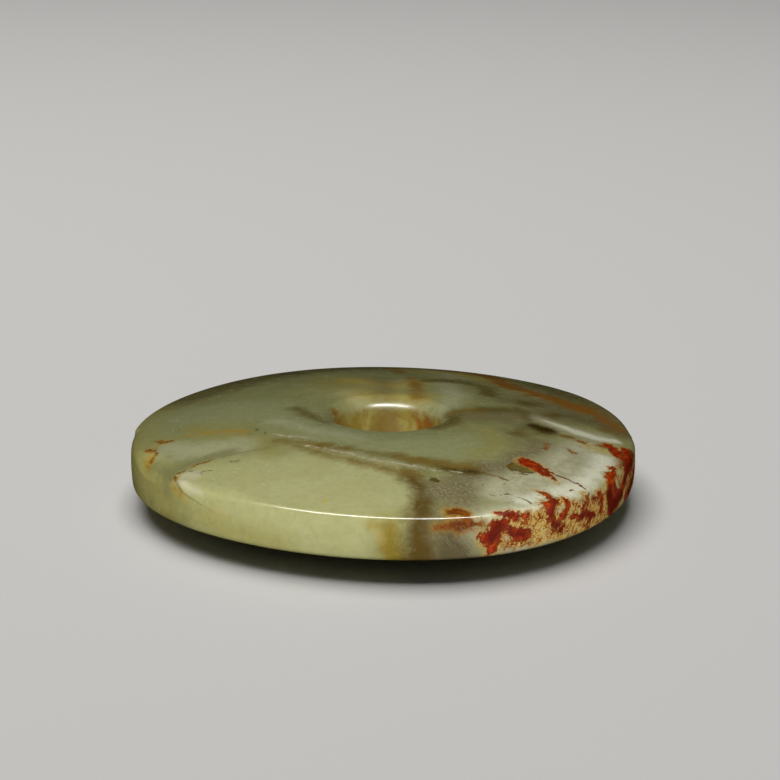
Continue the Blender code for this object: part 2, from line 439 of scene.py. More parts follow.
# Painted shade: the far side of the face, where it turns away from the light, and low on the left wall.
STROKES["shaded"] = (
    (8.6, 6, face((-0.86, 0.44), (-0.62, 0.66), (-0.36, 0.84), (-0.1, 0.9))),
    (7, 6, face((0.66, 0.66), (0.8, 0.44), (0.93, 0.16))),
    (-1, -1, edge((-172, 0.14), (-152, 0.155), (-140, 0.165))),
)
STROKES["smudge"] = (
    (6, 7, face((0.36, -0.04), (0.58, 0.02), (0.78, 0.14))),
    (5, 5, face((0.5, 0.22), (0.7, 0.24))),
    (3.4, 3, face((0.52, -0.22), (0.58, -0.36), (0.53, -0.47))),
    (2, 2, face((-0.02, 0.46), (-0.02, 0.18))),
)
STROKES["bore"] = (
    (14, 14, [np.array([0.0, 0.0, -0.010]), np.array([0.0, 0.0, 0.0122])]),
)
STROKES["bore_shade"] = (
    (3.2, 3.2, bore((91, 0.0186), (91, 0.004))),
    (2, 2, bore((38, 0.017), (34, 0.008))),
    (3, 3, bore((-60, 0.016), (-70, 0.006))),
    (3.4, 3.4, bore((-140, 0.015), (-130, 0.006))),
)
STROKES["bore_rust"] = (
    (0.9, 1.2, bore((58, 0.0175), (50, 0.013), (46, 0.008))),
    (2, 1.6, bore((36, 0.019), (38, 0.015), (32, 0.01))),
    (1, 0.9, bore((171, 0.0196), (164, 0.0186), (159, 0.016))),
    (0.8, 0.5, bore((15, 0.0185), (8, 0.015))),
)
STROKES["yellow_band"] = (
    (1.8, 2.8, edge((-89.5, 0.045), (-89.5, 0.1), (-88.5, 0.17))),
    (0.5, 0.6, edge((-93, 0.03), (-91, 0.05))),
)
STROKES["khaki"] = (
    (2.4, 3, face((0.08, -0.7), (0.135, -0.82), (0.13, -0.97))),
    (3.2, 5.2, edge((-83.2, 0.01), (-82.6, 0.08), (-82.2, 0.16))),
)
STROKES["speckled"] = (
    (3.6, 6.5, face((0.42, -0.58), (0.3, -0.7), (0.25, -0.8))),
    (4.6, 4.6, face((0.27, -0.82), (0.25, -0.92))),
    (4, 4.2, edge((-77.5, 0.02), (-76, 0.08), (-76, 0.15))),
    (2.6, 2.2, face((0.62, -0.34), (0.54, -0.44), (0.46, -0.52))),
)
STROKES["white"] = (
    (7.6, 8.6, face((0.46, -0.76), (0.6, -0.66), (0.76, -0.42), (0.84, -0.3))),
    (1.4, 2.6, face((0.6, -0.02), (0.7, -0.095), (0.86, -0.12))),
    (4.4, 4.4, edge((-70, 0.03), (-58, 0.03), (-48, -0.01))),
    (2, 2, edge((-67, 0.14), (-55, 0.155))),
)
STROKES["tan"] = (
    (2.6, 3.4, face((0.84, 0.36), (0.91, 0.18), (0.93, 0.02))),
    (2, 2.4, face((0.14, 0.9), (0.34, 0.86))),
)
STROKES["far_brown"] = (
    (1.8, 2.8, face((0.02, 0.965), (0.18, 0.935), (0.36, 0.85), (0.47, 0.72))),
    (3, 3.6, face((0.47, 0.72), (0.5, 0.5), (0.62, 0.4), (0.8, 0.28))),
    (1.2, 0.8, face((0.82, 0.26), (0.9, 0.18), (0.95, 0.1))),
    (0.5, 0.8, face((0.105, 0.52), (0.115, 0.36), (0.13, 0.2))),
    (0.8, 0.4, face((0.02, 0.86), (0.05, 0.66))),
)
STROKES["olive"] = (
    (2, 2.2, face((0.59, -0.12), (0.61, -0.18))),
    (1, 1.4, face((0.545, -0.155), (0.5, -0.24))),
    (1.8, 2.2, face((0.37, 0.04), (0.46, 0.05))),
    (1.8, 1.8, face((0.66, 0.05), (0.69, 0.08))),
    (1, 1.2, face((0.53, 0.08), (0.56, -0.04))),
    (1.2, 2.2, face((0.06, -0.565), (0.18, -0.605), (0.31, -0.635))),
    (0.8, 1.6, face((-0.24, -0.43), (-0.07, -0.52), (0.04, -0.55))),
    (2, 2.6, face((0.16, 0.49), (0.3, 0.5), (0.41, 0.42), (0.42, 0.28))),
    (2.5, 2, face((0.56, 0.19), (0.6, 0.2))),
    (2.2, 2.2, face((0.27, -0.03), (0.245, -0.14), (0.19, -0.2))),
    (2, 1.4, face((-0.36, 0.01), (-0.3, -0.08), (-0.24, -0.15))),
)
STROKES["olive_skin"] = (
    (1.5, 1.9, face((0.47, -0.57), (0.495, -0.56))),
    (1.3, 1.5, face((0.505, -0.59), (0.53, -0.58))),
    (0.5, 0.5, face((0.165, -0.725), (0.178, -0.74))),
)
STROKES["brown"] = (
    (0.8, 1.6, face((-0.42, -0.36), (-0.3, -0.415), (-0.17, -0.49))),
    (1.4, 2.2, face((0.05, -0.545), (0.18, -0.595), (0.3, -0.605))),
    (0.8, 1.9, face((-0.34, -0.435), (-0.22, -0.54), (-0.1, -0.61), (0.02, -0.67), (0.1, -0.69))),
    (1, 1, face((0.12, 0.4), (0.12, 0.22))),
    (0.9, 0.8, bore((162, 0.0202), (168, 0.0182))),
    (1, 1, face((0.85, 0.0), (0.87, -0.01))),
    (1.4, 1.6, face((0.21, -0.02), (0.27, 0.02), (0.36, 0.03))),
)
STROKES["ochre"] = (
    (2.2, 2.4, face((0.79, -0.245), (0.85, -0.27))),
    (2.2, 2.2, face((0.225, -0.945), (0.27, -0.945))),
    (1, 1, face((-0.905, -0.32), (-0.905, -0.345))),
    (0.6, 1, edge((-144, 0.02), (-142, 0.04), (-139, 0.05))),
    (3.4, 3.4, edge((-24, 0.1), (-10, 0.1))),
    (0.5, 0.5, edge((-93, 0.03), (-91, 0.09))),
    (0.4, 0.5, edge((-130, 0.07), (-127, 0.08))),
)
STROKES["rust"] = (
    (1.5, 1.6, face((0.226, -0.945), (0.248, -0.935), (0.27, -0.947))),
    (0.7, 1.5, edge((-80, 0.04), (-77, 0.034), (-73.5, 0.026))),
    (1.2, 0.6, edge((-75.5, 0.046), (-73, 0.04), (-70.5, 0.03))),
    (0.8, 0.7, edge((-158.5, 0.005), (-157, 0.018))),
    (0.8, 0.6, bore((161, 0.0202), (166, 0.0188))),
    (0.7, 0.7, face((0.755, -0.21), (0.775, -0.215))),
    (0.7, 0.6, face((0.838, -0.215), (0.85, -0.215))),
    (0.5, 0.5, face((0.7, -0.178), (0.72, -0.18))),
    (2, 2.4, edge((-23, -0.03), (-18, -0.01), (-12, 0.0))),
    (1.4, 1.4, edge((-31, -0.03), (-29, -0.01))),
)
STROKES["russet"] = (
    (1.7, 1.8, face((0.517, -0.508), (0.552, -0.534))),
    (1.6, 0.9, face((0.552, -0.54), (0.584, -0.594))),
    (0.8, 0.5, face((0.585, -0.55), (0.605, -0.6), (0.622, -0.635))),
    (0.3, 1.2, face((0.535, -0.732), (0.565, -0.742), (0.595, -0.775), (0.605, -0.8))),
    (0.9, 0.6, face((0.645, -0.765), (0.64, -0.79))),
    (1.2, 1.5, face((0.88, -0.18), (0.895, -0.22), (0.908, -0.285))),
    (1, 1.2, face((0.94, -0.19), (0.95, -0.26), (0.93, -0.3))),
    (0.8, 1, face((0.868, -0.425), (0.862, -0.47), (0.845, -0.52))),
    (0.7, 1, edge((-67, -0.008), (-65, 0.01), (-63, 0.028))),
    (0.7, 0.5, edge((-62, 0.022), (-60, 0.038))),
    (1.2, 2.4, edge((-65.6, 0.042), (-67.6, 0.062), (-68.4, 0.088))),
    (0.8, 0.6, edge((-70, 0.09), (-71, 0.08))),
    (1.8, 1.3, edge((-68.4, 0.1), (-68.4, 0.145))),
    (1.1, 1.5, edge((-64.4, 0.075), (-62.6, 0.095), (-61, 0.1))),
    (0.5, 0.5, edge((-57.6, 0.045), (-57, 0.035))),
    (1.4, 1.5, edge((-56, -0.03), (-53.8, -0.005), (-54.2, 0.03))),
    (0.7, 0.5, edge((-54.2, 0.04), (-55.2, 0.058))),
    (0.6, 0.7, edge((-50.6, -0.008), (-48.9, 0.018), (-49.6, 0.04), (-51.2, 0.058))),
    (0.7, 0.8, edge((-53.4, 0.065), (-52.2, 0.09), (-53.2, 0.105))),
    (0.7, 0.8, edge((-51.6, 0.075), (-50.2, 0.06))),
    (0.8, 0.7, edge((-50.6, 0.1), (-51.6, 0.128))),
    (0.6, 0.7, edge((-48.2, 0.08), (-46.2, 0.083))),
    (0.6, 0.9, edge((-45.8, 0.098), (-43.8, 0.088), (-42.2, 0.102), (-39.8, 0.106))),
    (0.5, 0.4, edge((-41.2, 0.112), (-42.6, 0.142))),
    (0.4, 0.4, edge((-44.2, -0.015), (-42.7, 0.0), (-43, 0.016))),
    (0.4, 0.3, edge((-39.6, 0.052), (-37.8, 0.036))),
    (0.6, 0.9, edge((-38, 0.03), (-36.6, 0.06), (-37, 0.11))),
    (1.7, 2.2, edge((-30.4, -0.02), (-31.6, 0.03), (-32.2, 0.08), (-31, 0.13))),
    (2.2, 2.2, edge((-30.5, 0.112), (-26, 0.1))),
    (1.4, 2, edge((-24.5, 0.07), (-20, 0.025), (-15, 0.02))),
    (1.4, 2, edge((-21, 0.14), (-10, 0.09), (4, 0.09))),
)
STROKES["deep"] = (
    (1.2, 1.4, edge((-66.8, 0.05), (-68.4, 0.085))),
    (0.5, 0.5, edge((-62.5, 0.09), (-61, 0.098))),
    (0.4, 0.5, edge((-66, 0.0), (-63.8, 0.018))),
    (0.5, 0.4, edge((-64.8, 0.082), (-63.8, 0.095))),
    (0.5, 0.5, edge((-52.6, -0.008), (-52.8, 0.02), (-53.9, 0.045))),
    (0.7, 0.6, edge((-53.2, 0.085), (-51, 0.115))),
    (0.5, 0.5, edge((-44.5, 0.092), (-42, 0.102), (-40.5, 0.106))),
    (1.2, 1.6, edge((-33, 0.05), (-32, 0.1), (-31, 0.13))),
    (1.4, 1.4, edge((-30, 0.118), (-25.5, 0.105))),
    (0.9, 1.2, edge((-23, 0.055), (-18.5, 0.02), (-14.5, 0.022))),
    (1, 1.4, edge((-18, 0.14), (-6, 0.08), (2, 0.07))),
    (0.5, 0.4, face((0.6, -0.765), (0.615, -0.785))),
)
STROKES["spared"] = (
    (0.35, 0.7, edge((-50.4, 0.012), (-51.4, 0.036))),
    (0.4, 0.3, edge((-28.6, 0.03), (-27.4, 0.06))),
    (0.3, 0.4, edge((-65.4, 0.098), (-64.8, 0.108))),
)
STROKES["network"] = (
    (3.8, 4.4, edge((-64.5, 0.09), (-52, 0.082), (-42, 0.1), (-28, 0.08))),
    (1.6, 1.6, edge((-68.5, 0.12), (-64, 0.05), (-60, 0.035))),
    (3.4, 2.6, edge((-25, 0.07), (-9, 0.1))),
    (1.4, 1, edge((-57, 0.03), (-51, 0.012), (-47, 0.032))),
)
STROKES["grey_wall"] = (
    (2.8, 3.8, edge((-77, 0.05), (-76, 0.08), (-76, 0.16))),
)
STROKES["bright_chalk"] = (
    (2.4, 3, face((0.5, -0.81), (0.56, -0.79), (0.68, -0.68), (0.755, -0.6))),
    (2.2, 2.6, face((0.76, -0.58), (0.82, -0.46), (0.84, -0.36))),
    (1, 0.8, edge((-68, -0.01), (-60, 0.0), (-57, 0.01))),
)
# The white streak along the low ridge on the right: white stone, with a painted highlight where the ridge
# catches the light.
STROKES["white_and_highlight_streak"] = (
    (0.6, 1.7, face((0.63, -0.03), (0.69, -0.07), (0.76, -0.11))),
    (1.9, 1.2, face((0.76, -0.11), (0.83, -0.135), (0.91, -0.115))),
)
STROKES["dark_olive"] = (
    (1.8, 2.6, face((0.57, -0.115), (0.61, -0.14), (0.63, -0.15))),
    (0.6, 0.5, face((0.685, -0.18), (0.72, -0.185))),
    (0.5, 1, face((0.2, -0.63), (0.27, -0.645), (0.32, -0.64))),
)
STROKES["striated"] = (
    (2.2, 2.2, edge((-79, 0.075), (-74, 0.085), (-73.5, 0.15))),
)

# How far a stain, and each stroke of painted shade and highlight, strays from its stroke, in metres, and
# over what length
STRAY = 0.0005
STRAY_SIZE = 0.0034
FINE_STRAY = 0.00022
FINE_STRAY_SIZE = 0.0011
STRAY_SEED = 1
# A distance beyond every stain, in millimetres
FAR_AWAY = 60.0


def strayed(points):
    """The points shifted by smooth noise, so that a straight stroke comes out winding."""
    noise.seed_set(STRAY_SEED)
    wide = [noise.noise_vector(Vector(point)) for point in points / STRAY_SIZE]
    narrow = [noise.noise_vector(Vector(point)) for point in points / FINE_STRAY_SIZE]
    return points + STRAY * np.array(wide) + FINE_STRAY * np.array(narrow)


def stroke_distance(points, strokes):
    """Distance in millimetres from each point to the nearest stroke's skin, below 0 inside it."""
    nearest = np.full(points.shape[0], FAR_AWAY)
    for start_width, end_width, line in strokes:
        last = len(line) - 1
        for index in range(last):
            run = line[index + 1] - line[index]
            share = np.clip(((points - line[index]) @ run) / (run @ run), 0.0, 1.0)
            gap = np.linalg.norm(points - line[index] - share[:, None] * run, axis=1) * 1000
            half_width = start_width + (end_width - start_width) * (index + share) / last
            nearest = np.minimum(nearest, gap - half_width)
    return nearest


def stone_mesh(points, skin):
    """The closed mesh over the grid of points, with how far each stroke lies from the uncut skin there:
    the stains, and the few strokes of painted shade and painted highlight.
    """
    turns, stations = points.shape[:2]
    mesh = bpy.data.meshes.new("jade_disc_surface")
    index = np.arange(turns * stations).reshape(turns, stations)
    next_turn = np.roll(index, -1, axis=0)
    corners = [index, np.roll(index, -1, axis=1), np.roll(next_turn, -1, axis=1), next_turn]
    quads = np.stack(corners, axis=-1).reshape(-1, 4)
    mesh.from_pydata(points.reshape(-1, 3).tolist(), [], quads.tolist())
    skin = skin.reshape(-1, 3)
    within = strayed(skin)
    for name, strokes in STROKES.items():
        attribute = mesh.attributes.new(name, 'FLOAT', 'POINT')
        attribute.data.foreach_set("value", stroke_distance(within, strokes).astype(np.float32))
    attribute = mesh.attributes.new("skin_place", 'FLOAT_VECTOR', 'POINT')
    attribute.data.foreach_set("vector", (skin * 1000).astype(np.float32).ravel())
    mesh.shade_smooth()
    mesh.validate()
    return mesh


disc = bpy.data.objects.new("jade_disc_surface", stone_mesh(stone, blank))
bpy.context.scene.collection.objects.link(disc)

# The jade's finish
# Nephrite with a waxy hand polish: light sinks a little way in, clouds and specks lie at every depth, and
# the stain has crept out from its cracks with a ragged edge. The colour also carries painted shade by the
# scar and on the far side, and painted highlights on the scar's nose, along the crease and on the ridge's
# streak.
STONE_IOR = 1.55
LIGHT_DEPTH = 0.0030
LIGHT_DEPTH_COLOURS = (1.0, 0.85, 0.4)
LIGHT_SHARE = 0.10
STONE_GLINT = 0.38

jade = bpy.data.materials.new("nephrite_stains_and_painted_light")
jade.use_nodes = True
nodes = jade.node_tree.nodes
links = jade.node_tree.links
shader = nodes["Principled BSDF"]


def set_values(node, values):
    """Set sockets of a node, by their names."""
    for name, value in values.items():
        node.inputs[name].default_value = value


set_values(shader, {
    "IOR": STONE_IOR,
    "Specular IOR Level": STONE_GLINT,
    "Subsurface Weight": LIGHT_SHARE,
    "Subsurface Radius": LIGHT_DEPTH_COLOURS,
    "Subsurface Scale": LIGHT_DEPTH,
})


def feed(socket, value):
    """Give a socket a number, a colour or another socket."""
    if isinstance(value, bpy.types.NodeSocket):
        links.new(value, socket)
    else:
        socket.default_value = value


def feed_all(node, *values):
    """Feed a node's sockets in order."""
    for socket, value in zip(node.inputs, values):
        feed(socket, value)


def worked(operation, first, second=0.0, third=0.0):
    """The result of one step of arithmetic."""
    node = nodes.new("ShaderNodeMath")
    node.operation = operation
    feed_all(node, first, second, third)
    return node.outputs[0]


def in_space(operation, first, second=(0.0, 0.0, 0.0), third=(0.0, 0.0, 0.0), scale=1.0):
    """The result of one step of arithmetic on points, which is a number for a length or a product."""
    node = nodes.new("ShaderNodeVectorMath")
    node.operation = operation
    feed_all(node, first, second, third, scale)
    return node.outputs["Value" if operation in ('DOT_PRODUCT', 'LENGTH') else "Vector"]


def times(first, second):
    return worked('MULTIPLY', first, second)


def eased(value, low, high, from_low=0.0, to_high=1.0):
    """from_low where the value is at low, to_high where it is at high, on an easy curve."""
    node = nodes.new("ShaderNodeMapRange")
    node.interpolation_type = 'SMOOTHSTEP'
    feed_all(node, value, low, high, from_low, to_high)
    return node.outputs[0]


def laid(share, under, over):
    """One colour laid over another; a colour is three numbers or a socket."""
    node = nodes.new("ShaderNodeMix")
    node.data_type = 'RGBA'
    feed(node.inputs[0], share)
    for socket, value in ((node.inputs[6], under), (node.inputs[7], over)):
        feed(socket, (*value, 1.0) if isinstance(value, tuple) else value)
    return node.outputs[2]


place = nodes.new("ShaderNodeTexCoord").outputs["Object"]
stone_place = in_space('SCALE', place, scale=1000.0)


def grain_place(stretch, turn, lift, seed):
    """The stone's own coordinates, turned, lifted and stretched along one way, for one pattern."""
    node = nodes.new("ShaderNodeMapping")
    node.vector_type = 'TEXTURE'
    set_values(node, {
        "Rotation": (0.0, -math.radians(lift), math.radians(turn)),
        "Scale": (stretch, 1.0, 1.0),
        "Location": (seed * 31.0, seed * 13.0, seed * 7.0),
    })
    links.new(stone_place, node.inputs["Vector"])
    return node.outputs[0]


def cloud(size, detail=3.0, rough=0.5, warp=0.0, stretch=1.0, turn=0.0, lift=0.0, seed=0.0):
    """Cloudy noise, 0 to 1 round a half, with clouds of the size given in millimetres."""
    node = nodes.new("ShaderNodeTexNoise")
    links.new(grain_place(stretch, turn, lift, seed), node.inputs["Vector"])
    set_values(node, {"Scale": 1.0 / size, "Detail": detail, "Roughness": rough, "Distortion": warp})
    return node.outputs["Fac"]


broad = cloud(14.0, 4.0, 0.55, 0.6, seed=1.0)
middle = cloud(5.0, 5.0, 0.6, 0.8, seed=2.0)
small = cloud(1.8, 5.0, 0.65, 0.5, seed=3.0)
fine = cloud(0.5, 4.0, 0.7, 0.0, seed=4.0)
wisps = cloud(2.2, 5.0, 0.62, 0.8, stretch=3.2, turn=-38.0, seed=5.0)
flecks = cloud(0.45, 4.0, 0.72, 0.0, stretch=2.0, turn=-42.0, seed=8.0)
licks = cloud(1.1, 5.0, 0.66, 0.5, stretch=2.6, turn=38.0, lift=50.0, seed=11.0)


def torn(name, *tears):
    """Distance in millimetres from the edge of a stroke's mark, torn by (amount in millimetres, cloud)
    pairs.
    """
    node = nodes.new("ShaderNodeAttribute")
    node.attribute_name = name
    reach = node.outputs["Fac"]
    for amount, torn_by in tears:
        reach = worked('MULTIPLY_ADD', worked('SUBTRACT', torn_by, 0.5), amount, reach)
    return reach


def stain(name, soft, *tears):
    """How much of a stroke's mark there is, over an edge that fades by soft millimetres each way; most
    marks are stains, a few are painted shade and painted highlights.
    """
    return eased(torn(name, *tears), soft, -soft)


def tinted(under, tone, most, cover):
    """A colour with a tone laid over it, as strong as most where the cover is 1."""
    return laid(times(cover, most), under, tone)


def stained(under, tone, most, name, soft, *tears):
    """A colour with one stroke's mark over it; the marks are stains, painted shade and painted highlights.
    """
    return tinted(under, tone, most, stain(name, soft, *tears))


# The clear stone, from grey celadon to yellow green, with painted shade by the scar and on the far side
# and a painted highlight on the scar's nose
colour = laid(eased(broad, 0.36, 0.64), (0.30, 0.31, 0.12), (0.35, 0.345, 0.14))
colour = tinted(colour, (0.40, 0.37, 0.14), 0.35, eased(wisps, 0.42, 0.72))
colour = stained(colour, (0.36, 0.375, 0.175), 0.85, "celadon", 5.0, (9.0, middle))
yellowed = stain("yellowed", 3.4, (6.0, middle), (3.0, wisps))
colour = tinted(colour, (0.36, 0.315, 0.085), 0.65, yellowed)
colour = stained(colour, (0.47, 0.47, 0.26), 0.85, "lens", 3.0, (6.0, middle), (3.0, wisps))
colour = stained(colour, (0.52, 0.40, 0.080), 0.75, "gold", 3.6, (6.0, middle), (3.0, small))
cream = laid(eased(broad, 0.38, 0.62), (0.485, 0.475, 0.205), (0.51, 0.505, 0.235))
cream = tinted(cream, (0.46, 0.455, 0.20), 0.35, eased(middle, 0.45, 0.70))
cream = tinted(cream, (0.38, 0.345, 0.095), 0.6, yellowed)
colour = laid(stain("cream", 5.0, (7.0, broad), (3.0, wisps)), colour, cream)
# Painted shade beside the scar's crease.
colour = stained(colour, (0.26, 0.25, 0.10), 0.8, "scar_painted_shade", 1.8, (2.0, middle))
# Painted highlight on the scar's nose.
colour = stained(colour, (0.66, 0.62, 0.40), 0.8, "nose", 1.4, (2.0, small))
# Painted shade on the far side of the face and low on the left wall.
colour = stained(colour, (0.17, 0.14, 0.045), 0.85, "shaded", 8.0, (10.0, middle))
colour = stained(colour, (0.22, 0.175, 0.075), 0.75, "smudge", 5.0, (8.0, middle), (3.0, wisps))
bore_tone = laid(eased(middle, 0.40, 0.60), (0.31, 0.215, 0.030), (0.39, 0.315, 0.070))
bore_tone = stained(bore_tone, (0.23, 0.145, 0.018), 0.85, "bore_shade", 1.8, (2.4, small))
bore_tone = stained(bore_tone, (0.30, 0.10, 0.007), 0.85, "bore_rust", 0.7, (2.4, small))
colour = laid(stain("bore", 0.9, (1.6, small)), colour, bore_tone)

# The clouded stone: yellow, khaki, speckled grey and white, and the ridge's white streak with a painted
# highlight
colour = stained(colour, (0.28, 0.195, 0.012), 0.85, "yellow_band", 2.2, (3.0, middle), (2.0, small))
colour = stained(colour, (0.115, 0.064, 0.008), 0.95, "khaki", 2.8, (5.0, middle), (2.4, small))
speckle = laid(eased(flecks, 0.42, 0.66), (0.195, 0.16, 0.072), (0.37, 0.335, 0.185))
speckle = tinted(speckle, (0.25, 0.215, 0.10), 0.5, eased(wisps, 0.40, 0.62))
speckle = tinted(speckle, (0.55, 0.52, 0.38), 0.5, eased(fine, 0.62, 0.74))
colour = laid(stain("speckled", 3.0, (7.0, middle), (2.0, flecks)), colour, speckle)
colour = laid(stain("grey_wall", 2.2, (4.0, middle), (2.0, small)), colour, (0.140, 0.113, 0.050))
chalk = laid(eased(middle, 0.34, 0.62), (0.46, 0.435, 0.25), (0.58, 0.56, 0.36))
chalk = tinted(chalk, (0.64, 0.62, 0.42), 0.30, eased(wisps, 0.46, 0.70))
chalk = tinted(chalk, (0.40, 0.37, 0.20), 0.45, eased(broad, 0.52, 0.40))
chalk = laid(stain("bright_chalk", 2.6, (5.0, middle), (2.0, wisps)), chalk, (0.88, 0.87, 0.65))
chalk = tinted(chalk, (0.29, 0.25, 0.12), 0.6, eased(flecks, 0.40, 0.30))
pepper = cloud(0.8, 2.0, 0.5, seed=17.0)
chalk = tinted(chalk, (0.16, 0.12, 0.04), 0.7, eased(pepper, 0.66, 0.72))
colour = laid(stain("white", 3.6, (7.0, middle), (2.0, wisps)), colour, chalk)
# The ridge's streak: white stone and a painted highlight.
ridge_white_and_highlight = stain("white_and_highlight_streak", 1.1, (2.4, middle), (1.2, small))

# Tan, olive and brown clouds, and the ridge's white streak with its painted highlight laid over them
colour = stained(colour, (0.29, 0.175, 0.055), 0.8, "tan", 3.0, (6.0, middle), (3.0, small))
colour = stained(colour, (0.35, 0.135, 0.008), 0.9, "far_brown", 3.4, (6.0, middle), (3.0, small))
colour = stained(colour, (0.14, 0.10, 0.015), 0.8, "olive", 2.4, (4.0, middle), (1.4, small))
colour = stained(colour, (0.23, 0.145, 0.025), 0.85, "brown", 2.2, (3.6, middle), (2.4, small))
skin_reach = torn("olive_skin", (2.6, small), (2.4, fine))
colour = tinted(colour, (0.165, 0.120, 0.022), 0.9, eased(skin_reach, 0.3, -0.3))
skin_rim = times(eased(skin_reach, 0.30, 0.0), eased(skin_reach, -0.70, -0.20))
colour = tinted(colour, (0.085, 0.045, 0.006), 0.8, skin_rim)
colour = stained(colour, (0.046, 0.022, 0.001), 0.95, "dark_olive", 1.7, (2.4, small), (1.2, fine))
# White stone and painted highlight along the ridge.
colour = tinted(colour, (0.86, 0.84, 0.60), 0.95, ridge_white_and_highlight)

# The iron stains: ochre skin, a lace of russet, rust and deep red where they are thickest
colour = stained(colour, (0.56, 0.44, 0.12), 0.65, "ochre", 1.4, (4.0, small), (1.5, fine))
russet_reach = torn("russet", (3.4, licks), (2.2, small), (2.0, fine))
mustard = laid(eased(small, 0.38, 0.60), (0.78, 0.57, 0.17), (0.70, 0.44, 0.08))
mustard = tinted(mustard, (0.82, 0.66, 0.26), 0.6, eased(fine, 0.46, 0.60))
in_lace = stain("network", 0.9, (4.0, middle), (4.0, licks))
spared = stain("spared", 0.25, (1.2, small), (0.8, fine))
colour = tinted(colour, mustard, 0.9, in_lace)
colour = tinted(colour, (0.62, 0.38, 0.07), 0.65, eased(russet_reach, 1.4, 0.0))


def lace(size, wall, torn_by, seed):
    """Threads along the walls of irregular cells that lean up to the right, thick and thin by turns."""
    shift = cloud(size / 0.9, 2.0, seed=seed).node.outputs["Color"]
    moved = in_space('MULTIPLY_ADD', shift, (1.1 * size, 1.1 * size, 1.1 * size))
    links.new(grain_place(1.7, 38.0, 50.0, seed), moved.node.inputs[2])
    cells = nodes.new("ShaderNodeTexVoronoi")
    cells.feature = 'DISTANCE_TO_EDGE'
    cells.inputs["Scale"].default_value = 1.0 / size
    links.new(moved, cells.inputs["Vector"])
    thickness = eased(torn_by, 0.40, 0.62, -0.02, wall)
    return eased(cells.outputs["Distance"], thickness, times(thickness, 0.5))


threads = times(lace(1.6, 0.11, small, 6.0), eased(middle, 0.42, 0.52))
fine_threads = times(lace(0.85, 0.16, licks, 9.0), eased(small, 0.40, 0.54))
colour = tinted(colour, (0.24, 0.028, 0.003), 0.95, times(threads, in_lace))
colour = tinted(colour, (0.36, 0.072, 0.005), 0.9, times(fine_threads, in_lace))

rust_reach = torn("rust", (3.0, small), (2.2, fine))
rust_tone = laid(eased(small, 0.40, 0.56), (0.30, 0.080, 0.003), (0.15, 0.024, 0.002))
colour = tinted(colour, (0.38, 0.20, 0.022), 0.65, eased(rust_reach, 1.5, -0.3))
colour = tinted(colour, rust_tone, 0.95, eased(rust_reach, 0.35, -0.75))

red_tone = laid(eased(licks, 0.36, 0.56), (0.58, 0.085, 0.002), (0.35, 0.016, 0.001))
red_tone = tinted(red_tone, (0.28, 0.020, 0.002), 0.5, eased(russet_reach, -0.55, -0.10))
red_tone = tinted(red_tone, (0.20, 0.010, 0.002), 0.65, threads)
russet = eased(russet_reach, 0.22, -0.22)
colour = laid(russet, colour, red_tone)
deep = stain("deep", 0.7, (2.8, licks), (2.2, fine))
colour = tinted(colour, (0.13, 0.006, 0.001), 0.9, deep)
rim = times(eased(russet_reach, 0.15, -0.10), eased(russet_reach, -0.50, -0.20))
colour = tinted(colour, (0.16, 0.010, 0.002), 0.75, rim)
colour = tinted(colour, (0.60, 0.52, 0.28), 0.95, spared)


# Fine lines are too thin for the mesh, so they are drawn from places on the skin. They waver by up to
# half the shake, over the shake's size, in millimetres.
SHAKE = 2.2
SHAKE_SIZE = 2.0


def wandering_place():
    """The place on the uncut skin in millimetres, shaken so that a straight line wavers."""
    skin = nodes.new("ShaderNodeAttribute")
    skin.attribute_name = "skin_place"
    shake = nodes.new("ShaderNodeTexNoise")
    set_values(shake, {"Scale": 1.0 / SHAKE_SIZE, "Detail": 4.0})
    links.new(skin.outputs["Vector"], shake.inputs["Vector"])
    centred = in_space('SUBTRACT', shake.outputs["Color"], (0.5, 0.5, 0.5))
    return in_space('MULTIPLY_ADD', centred, (SHAKE, SHAKE, SHAKE), skin.outputs["Vector"])


skin_place = wandering_place()


def stretch_of_line(start, end):
    """Distance in millimetres from a place on the skin to one straight stretch."""
    run = (end - start) * 1000
    offset = in_space('SUBTRACT', skin_place, start * 1000)
    along = in_space('DOT_PRODUCT', offset, run / (run @ run))
    share = worked('MINIMUM', worked('MAXIMUM', along, 0.0), 1.0)
    foot = in_space('SCALE', run, scale=share)
    return in_space('LENGTH', in_space('SUBTRACT', offset, foot))


def fine_line(half_width, soft, *lines, least=0.25):
    """How much of a fine line there is, thick and thin along its way."""
    nearest = FAR_AWAY
    for line in lines:
        for start, end in zip(line[:-1], line[1:]):
            nearest = worked('MINIMUM', stretch_of_line(start, end), nearest)
    width = eased(small, 0.34, 0.60, least * half_width, 1.5 * half_width)
    reach = worked('SUBTRACT', nearest, width)
    return eased(reach, soft, -soft)


vein = fine_line(
    0.26, 0.18,
    face((-0.31, -0.435), (-0.22, -0.485), (-0.14, -0.525), (-0.09, -0.56), (-0.02, -0.592),
         (0.06, -0.61), (0.15, -0.65), (0.27, -0.655)),
    face((-0.44, -0.295), (-0.37, -0.335), (-0.3, -0.36)))
vein_halo = fine_line(
    0.9, 0.8,
    face((-0.42, -0.31), (-0.35, -0.335), (-0.29, -0.365)),
    face((-0.24, -0.47), (-0.12, -0.53), (-0.02, -0.59), (0.16, -0.655)))
colour = tinted(colour, (0.46, 0.42, 0.26), 0.35, vein_halo)
colour = tinted(colour, (0.60, 0.53, 0.36), 0.8, vein)

